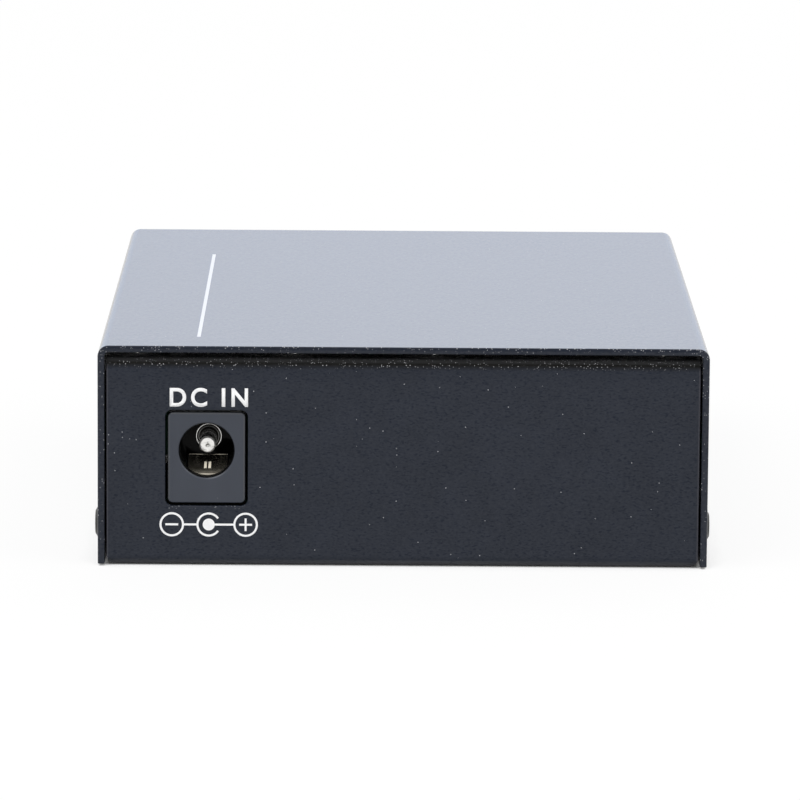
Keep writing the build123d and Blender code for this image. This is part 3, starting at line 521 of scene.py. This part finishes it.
def leaf_metal():
    """Spring strip: ridges that face the mouth at its front fold and crest, and two beads between them."""
    shading = metal(
        "spring_strip",
        colour(0.7, 0.64, 0.52),
        colour(0.82, 0.76, 0.64),
        roughness=0.16,
        stretch=DRAWN_ALONG_Y,
    )
    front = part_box("power_jack_sleeve_spring")[0].y
    y = shading.axis("Y")
    ridges = [(LEAF_FOLD, LEAF_FOLD_RIDGE), (LEAF_CREST, LEAF_CREST_RIDGE)]
    for place, width in ridges:
        ridge = shading.remap(y, front + place - width, front + place)
        shading.bump(ridge, strength=1.0, depth=width * LEAF_STEEPNESS, below=shading.fed("Normal"))
    aside = shading.math("ABSOLUTE", shading.math("SUBTRACT", shading.axis("X"), jack_axis()[0]))
    off_bead = shading.math("ABSOLUTE", shading.math("SUBTRACT", aside, BEAD_PITCH / 2))
    across = shading.remap(off_bead, BEAD_WIDTH / 3, BEAD_WIDTH / 2, 1.0, 0.0)
    slope = shading.remap(y, front + BEAD_START, front + BEAD_START + BEAD_LENGTH)
    bead = shading.math("MULTIPLY", across, slope)
    shading.bump(bead, strength=1.0, depth=BEAD_LENGTH * BEAD_STEEPNESS, below=shading.fed("Normal"))
    metal_share = shading.remap(y, front + LEAF_FOLD, front + BEAD_START, LEAF_FRONT_METAL, LEAF_BACK_METAL)
    shading.feed("Metallic", metal_share)
    return shading


def solder_mask():
    """Green solder mask with paler tracks below it, and the bare dark laminate on the board's edges."""
    shading = Shading("solder_mask")
    tracks = shading.add("ShaderNodeTexBrick")
    tracks.inputs["Scale"].default_value = 1 / TRACK_PITCH
    tracks.inputs["Mortar Size"].default_value = TRACK_SHARE
    shading.link(shading.place, tracks.inputs["Vector"])
    mask = shading.mix(tracks.outputs["Fac"], colour(0.004, 0.03, 0.014), colour(0.01, 0.06, 0.028))
    bottom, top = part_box("circuit_board")
    face = shading.between(shading.axis("Z"), bottom.z + BOARD_SKIN, top.z - BOARD_SKIN)
    shading.feed("Base Color", shading.mix(face, mask, colour(0.012, 0.012, 0.009)))
    shading.bump(shading.noise(0.5 * MM, detail=2.0), strength=0.15, depth=0.02 * MM)
    shading.set(Roughness=0.6, IOR=1.5, Specular_IOR_Level=0.12)
    return shading


def light_lens():
    """Diffused lens plastic: pale green, a little cloudy, letting some light into its body."""
    shading = Shading("light_lens")
    cloud = shading.spread(shading.noise(0.8 * MM, detail=3.0))
    shading.feed("Base Color", shading.mix(cloud, colour(0.46, 0.66, 0.46), colour(0.6, 0.78, 0.6)))
    shading.bump(shading.noise(0.3 * MM, detail=2.0), strength=0.08, depth=0.02 * MM)
    shading.set(Roughness=0.3, IOR=1.5, Subsurface_Weight=0.4, Subsurface_Radius=(0.001, 0.0014, 0.001))
    return shading


def make_finishes():
    """Every finish by the record's material slot."""
    return {
        "case_paint": chassis_paint(),
        "black_screws": moulded_plastic(
            "black_plating",
            colour(0.006, 0.006, 0.007),
            colour(0.01, 0.01, 0.012),
            roughness=0.4,
            gloss=0.2,
        ),
        "plated_steel": metal(
            "plated_sheet",
            colour(0.54, 0.54, 0.52),
            colour(0.6, 0.6, 0.58),
            roughness=0.26,
            stretch=DRAWN_ALONG_Y,
        ),
        "board_laminate": solder_mask(),
        "black_plastic": moulded_plastic(
            "moulded_black", colour(0.017, 0.019, 0.024), colour(0.022, 0.024, 0.03), roughness=0.34
        ),
        "nickel_contact": pin_nickel(),
        "spring_contact": leaf_metal(),
        "gold_contact": metal(
            "gold_flash",
            colour(0.78, 0.54, 0.2),
            colour(0.88, 0.66, 0.3),
            roughness=0.22,
            stretch=DRAWN_ALONG_Y,
        ),
        "tinned_lead": metal("tinned", colour(0.6, 0.6, 0.58), colour(0.7, 0.7, 0.68), roughness=0.34),
        "pale_plastic": moulded_plastic(
            "natural_moulding", colour(0.56, 0.56, 0.52), colour(0.66, 0.66, 0.62), roughness=0.42
        ),
        "sleeve_ceramic": moulded_plastic(
            "ground_ceramic",
            colour(0.76, 0.75, 0.72),
            colour(0.84, 0.83, 0.8),
            roughness=0.25,
            grain=0.1 * MM,
        ),
        "led_lens": light_lens(),
        "chip_moulding": moulded_plastic(
            "epoxy_moulding",
            colour(0.018, 0.018, 0.02),
            colour(0.03, 0.03, 0.032),
            roughness=0.6,
            grain=0.12 * MM,
        ),
        "capacitor_moulding": moulded_plastic(
            "capacitor_epoxy", colour(0.56, 0.33, 0.05), colour(0.66, 0.41, 0.08), roughness=0.5
        ),
        "passive_ceramic": moulded_plastic(
            "fired_ceramic", colour(0.3, 0.23, 0.16), colour(0.4, 0.31, 0.22), roughness=0.5, grain=0.1 * MM
        ),
    }


def dress_nodes():
    """Gives each CAD node the finish of its slot, and the cover and the jack finishes of their own."""
    finishes = make_finishes()
    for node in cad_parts.values():
        for place in node.material_slots:
            place.material = finishes[place.material.name].material
    own = {"top_cover": cover_paint(), "power_jack_body": jack_plastic()}
    for node, finish in own.items():
        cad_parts[node].material_slots[0].material = finish.material


# Rounded edges


def edge_marks(name, axis, low, high):
    """A node group that shades faces smooth and marks the sharp edges between two heights on one axis."""
    tree = bpy.data.node_groups.new(name, "GeometryNodeTree")
    tree.interface.new_socket("Geometry", in_out="INPUT", socket_type="NodeSocketGeometry")
    tree.interface.new_socket("Geometry", in_out="OUTPUT", socket_type="NodeSocketGeometry")

    def add(kind, **settings):
        node = tree.nodes.new(kind)
        for key, value in settings.items():
            setattr(node, key, value)
        return node

    def above(first, second):
        node = add("ShaderNodeMath", operation="GREATER_THAN")
        for socket, value in zip(node.inputs, (first, second)):
            if isinstance(value, float):
                socket.default_value = value
            else:
                tree.links.new(value, socket)
        return node.outputs["Value"]

    angle = add("GeometryNodeInputMeshEdgeAngle").outputs["Unsigned Angle"]
    parts = add("ShaderNodeSeparateXYZ")
    tree.links.new(add("GeometryNodeInputPosition").outputs["Position"], parts.inputs["Vector"])
    mark = above(angle, ROUNDED_ABOVE)
    for limit in (above(parts.outputs[axis], low), above(high, parts.outputs[axis])):
        both = add("ShaderNodeMath", operation="MULTIPLY")
        tree.links.new(mark, both.inputs[0])
        tree.links.new(limit, both.inputs[1])
        mark = both.outputs["Value"]

    start = add("NodeGroupInput")
    smooth = add("GeometryNodeSetShadeSmooth")
    store = add("GeometryNodeStoreNamedAttribute", data_type="FLOAT", domain="EDGE")
    store.inputs["Name"].default_value = "bevel_weight_edge"
    end = add("NodeGroupOutput")
    tree.links.new(start.outputs[0], smooth.inputs["Geometry"])
    tree.links.new(smooth.outputs["Geometry"], store.inputs["Geometry"])
    tree.links.new(mark, store.inputs["Value"])
    tree.links.new(store.outputs["Geometry"], end.inputs[0])
    return tree


def soften(node, width, steps, marks, clamped):
    """Rounds the marked edges of a CAD node as paint or a mould does, by modifiers over its own mesh."""
    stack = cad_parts[node].modifiers
    weld = stack.new("weld", "WELD")
    weld.merge_threshold = SAME_POINT
    flat = stack.new("flat", "DECIMATE")
    flat.decimate_type = "DISSOLVE"
    flat.angle_limit = FLAT_BELOW
    smooth = stack.new("marks", "NODES")
    smooth.node_group = marks
    bevel = stack.new("bevel", "BEVEL")
    bevel.width = width
    bevel.segments = steps
    bevel.limit_method = "WEIGHT"
    bevel.use_clamp_overlap = clamped
    normals = stack.new("normals", "WEIGHTED_NORMAL")
    normals.weight = FLAT_FACE_WEIGHT


def soften_nodes():
    """Rounds every sharp edge of the parts in view, but on the base only those above its floor's folds,
    and on the jack only those of its face."""
    everywhere = edge_marks("every_edge", "Z", -FAR, FAR)
    above_floor = edge_marks("edges_above_floor", "Z", FLOOR_FOLD, FAR)
    jack_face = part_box("power_jack_body")[0].y + FACE_DEPTH
    on_face = edge_marks("edges_of_jack_face", "Y", -FAR, jack_face)
    zones = {"base_chassis": above_floor, "power_jack_body": on_face}
    for node, (width, steps) in EDGES.items():
        soften(node, width, steps, zones.get(node, everywhere), node not in FULL_ROUNDING)
    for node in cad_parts:
        if node.startswith("status_led"):
            soften(node, *LED_EDGE, everywhere, True)


# White ink on the power panel


def add_piece(name, mesh, ink):
    """Links a new mesh piece that rides with the converter and wears the ink."""
    piece = bpy.data.objects.new(name, mesh)
    bpy.context.scene.collection.objects.link(piece)
    mesh.materials.append(ink)
    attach(piece, "root")
    return piece


def thicken(mesh_builder, faces):
    """Turns flat faces into a thin closed film that stands out towards -Y."""
    film = bmesh.ops.extrude_face_region(mesh_builder, geom=faces)["geom"]
    corners = [part for part in film if isinstance(part, bmesh.types.BMVert)]
    bmesh.ops.translate(mesh_builder, verts=corners, vec=(0, -INK_THICKNESS, 0))
    bmesh.ops.recalc_face_normals(mesh_builder, faces=mesh_builder.faces)


def ring_faces(mesh_builder, centre, outer, inner, start, sweep):
    """Flat faces of a ring, or part of one, in the panel's plane; inner 0 makes a disc."""
    closed = sweep >= 2 * math.pi
    steps = RING_STEPS if closed else round(RING_STEPS * sweep / (2 * math.pi))
    angles = [start + sweep * i / steps for i in range(steps if closed else steps + 1)]

    def around(radius):
        return [
            mesh_builder.verts.new(centre + radius * Vector((math.cos(a), 0, math.sin(a)))) for a in angles
        ]

    outside = around(outer)
    if inner == 0:
        return [mesh_builder.faces.new(outside)]
    inside = around(inner)
    last = len(angles) if closed else len(angles) - 1
    following = [(i + 1) % len(angles) for i in range(last)]
    return [
        mesh_builder.faces.new((outside[i], outside[j], inside[j], inside[i]))
        for i, j in enumerate(following)
    ]


def bar_faces(mesh_builder, start, end, stroke):
    """A flat bar between two points of the panel's plane."""
    way = (end - start).normalized()
    side = Vector((-way.z, 0, way.x)) * stroke / 2
    corners = [start + side, end + side, end - side, start - side]
    return [mesh_builder.faces.new([mesh_builder.verts.new(corner) for corner in corners])]


def polarity_symbol(ink, jack_x, face_y, z):
    """The usual polarity mark: minus ring, centre contact in an open ring, plus ring, joined by bars."""
    builder = bmesh.new()
    minus, middle, plus = [Vector((jack_x + i * SYMBOL_PITCH, face_y, z)) for i in (-1, 0, 1)]
    inner = SYMBOL_RING - SYMBOL_STROKE
    right, up = Vector((1, 0, 0)), Vector((0, 0, 1))
    faces = []
    for centre in (minus, plus):
        faces += ring_faces(builder, centre, SYMBOL_RING, inner, 0, 2 * math.pi)
        faces += bar_faces(builder, centre - right * SIGN_REACH, centre + right * SIGN_REACH, SYMBOL_STROKE)
    for way in (up, -up):
        faces += bar_faces(builder, plus + way * SYMBOL_STROKE / 2, plus + way * SIGN_REACH, SYMBOL_STROKE)
    open_sweep = 2 * math.pi - SYMBOL_OPENING
    faces += ring_faces(builder, middle, SYMBOL_RING, inner, SYMBOL_OPENING / 2, open_sweep)
    faces += ring_faces(builder, middle, SYMBOL_DOT, 0, 0, 2 * math.pi)
    faces += bar_faces(builder, minus + right * SYMBOL_RING, middle - right * SYMBOL_RING, SYMBOL_STROKE)
    faces += bar_faces(builder, middle + right * SYMBOL_DOT, plus - right * SYMBOL_RING, SYMBOL_STROKE)
    thicken(builder, faces)
    mesh = bpy.data.meshes.new("polarity_symbol")
    builder.to_mesh(mesh)
    builder.free()
    return add_piece("polarity_symbol", mesh, ink)


def panel_lettering(ink, centre_x, face_y, z):
    """The socket's generic label, in plain bold capitals that stand on the given height."""
    curve = bpy.data.curves.new("panel_lettering", "FONT")
    curve.body = LETTERING
    curve.offset = LETTER_WEIGHT
    curve.space_character = LETTER_SPACING
    curve.space_word = WORD_SPACING
    source = bpy.data.objects.new("panel_lettering_source", curve)
    bpy.context.scene.collection.objects.link(source)
    bpy.context.view_layer.update()
    mesh = bpy.data.meshes.new_from_object(source)
    bpy.data.objects.remove(source)

    low = Vector([min(vertex.co[axis] for vertex in mesh.vertices) for axis in range(3)])
    high = Vector([max(vertex.co[axis] for vertex in mesh.vertices) for axis in range(3)])
    size = Vector((LETTER_WIDTH / (high.x - low.x), LETTER_HEIGHT / (high.y - low.y), 1, 1))
    stand = Matrix.Rotation(math.pi / 2, 4, "X")
    to_panel = Matrix.Translation((centre_x - LETTER_WIDTH / 2, face_y, z))
    mesh.transform(to_panel @ stand @ Matrix.Diagonal(size) @ Matrix.Translation(-low))

    builder = bmesh.new()
    builder.from_mesh(mesh)
    bmesh.ops.remove_doubles(builder, verts=builder.verts, dist=SAME_POINT)
    thicken(builder, builder.faces[:])
    builder.to_mesh(mesh)
    builder.free()
    mesh.name = "panel_lettering"
    return add_piece("panel_lettering", mesh, ink)


def print_panel():
    """Prints the label and the polarity mark above and below the power jack, a little off its middle."""
    ink = white_ink().material
    jack_low, jack_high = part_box("power_jack_body")
    print_x = jack_axis()[0] + PRINT_OFFSET
    face_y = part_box("base_chassis")[0].y
    panel_lettering(ink, print_x, face_y, jack_high.z + LETTER_GAP)
    polarity_symbol(ink, print_x, face_y, jack_low.z - SYMBOL_DROP)


# Surroundings, lamps and camera


def seen_directly(tree):
    """1 for camera, glossy and transmission rays, which see the white surroundings, and 0 for the rest."""
    path = tree.nodes.new("ShaderNodeLightPath")
    total = path.outputs["Is Camera Ray"]
    for ray in ("Is Glossy Ray", "Is Transmission Ray"):
        either = tree.nodes.new("ShaderNodeMath")
        either.operation = "MAXIMUM"
        tree.links.new(total, either.inputs[0])
        tree.links.new(path.outputs[ray], either.inputs[1])
        total = either.outputs["Value"]
    return total


def white_surround():
    """A white world for what is seen directly, and a softer even light for the rest."""
    world = bpy.data.worlds.new("white_surround")
    world.use_nodes = True
    tree = world.node_tree
    soft = tree.nodes["Background"]
    soft.inputs["Color"].default_value = WHITE
    soft.inputs["Strength"].default_value = SURROUND_LEVEL
    white = tree.nodes.new("ShaderNodeBackground")
    white.inputs["Color"].default_value = WHITE
    white.inputs["Strength"].default_value = 1.0
    mix = tree.nodes.new("ShaderNodeMixShader")
    tree.links.new(seen_directly(tree), mix.inputs["Fac"])
    tree.links.new(soft.outputs["Background"], mix.inputs[1])
    tree.links.new(white.outputs["Background"], mix.inputs[2])
    tree.links.new(mix.outputs["Shader"], tree.nodes["World Output"].inputs["Surface"])
    bpy.context.scene.world = world


def pale_floor():
    """A plain pale floor that reads white in the open, is dark in narrow gaps and keeps a light shadow."""
    half = FLOOR_SIDE / 2
    corners = [(-half, -half, 0), (half, -half, 0), (half, half, 0), (-half, half, 0)]
    mesh = bpy.data.meshes.new("floor")
    mesh.from_pydata(corners, [], [(0, 1, 2, 3)])
    floor = bpy.data.objects.new("floor", mesh)
    floor.location.z = -FLOOR_DROP
    bpy.context.scene.collection.objects.link(floor)

    material = bpy.data.materials.new("floor_white")
    material.use_nodes = True
    tree = material.node_tree
    tree.nodes.remove(tree.nodes["Principled BSDF"])
    matt = tree.nodes.new("ShaderNodeBsdfDiffuse")
    matt.inputs["Color"].default_value = FLOOR_COLOUR
    glow = tree.nodes.new("ShaderNodeEmission")
    nearby = tree.nodes.new("ShaderNodeAmbientOcclusion")
    nearby.samples = GAP_SAMPLES
    nearby.inputs["Distance"].default_value = GAP_REACH
    open_floor = tree.nodes.new("ShaderNodeMapRange")
    open_floor.inputs["From Min"].default_value = GAP_CLOSED
    open_floor.inputs["From Max"].default_value = GAP_OPEN
    open_floor.inputs["To Max"].default_value = FLOOR_SHARE_OF_WHITE
    tree.links.new(nearby.outputs["AO"], open_floor.inputs["Value"])
    share = tree.nodes.new("ShaderNodeMath")
    share.operation = "MULTIPLY"
    tree.links.new(seen_directly(tree), share.inputs[0])
    tree.links.new(open_floor.outputs["Result"], share.inputs[1])
    mix = tree.nodes.new("ShaderNodeMixShader")
    tree.links.new(share.outputs["Value"], mix.inputs["Fac"])
    tree.links.new(matt.outputs["BSDF"], mix.inputs[1])
    tree.links.new(glow.outputs["Emission"], mix.inputs[2])
    tree.links.new(mix.outputs["Shader"], tree.nodes["Material Output"].inputs["Surface"])
    mesh.materials.append(material)


def softboxes():
    """Large soft lamps that look at the converter."""
    for name, lamp in LAMPS.items():
        light = bpy.data.lights.new(name, "AREA")
        light.shape = "SQUARE"
        light.size = lamp["side"]
        light.energy = lamp["power"]
        box = bpy.data.objects.new(name, light)
        box.location = lamp["place"]
        box.rotation_euler = (-Vector(lamp["place"])).to_track_quat("-Z", "Y").to_euler()
        bpy.context.scene.collection.objects.link(box)


def camera():
    """The photograph's camera: heading from +Y, tilted down, turned a little about its view."""
    lens = bpy.data.cameras.new("camera")
    lens.lens = CAMERA_LENS
    lens.sensor_width = SENSOR
    eye = bpy.data.objects.new("camera", lens)
    heading = Matrix.Rotation(-CAMERA_HEADING, 4, "Z")
    tilt = Matrix.Rotation(math.pi / 2 - CAMERA_TILT, 4, "X")
    roll = Matrix.Rotation(CAMERA_ROLL, 4, "Z")
    eye.matrix_world = Matrix.Translation(CAMERA_PLACE) @ heading @ tilt @ roll
    bpy.context.scene.collection.objects.link(eye)
    bpy.context.scene.camera = eye


def main():
    dress_nodes()
    soften_nodes()
    print_panel()
    white_surround()
    pale_floor()
    softboxes()
    camera()
    bpy.context.scene.view_settings.view_transform = "Standard"


main()
bpy.context.view_layer.update()
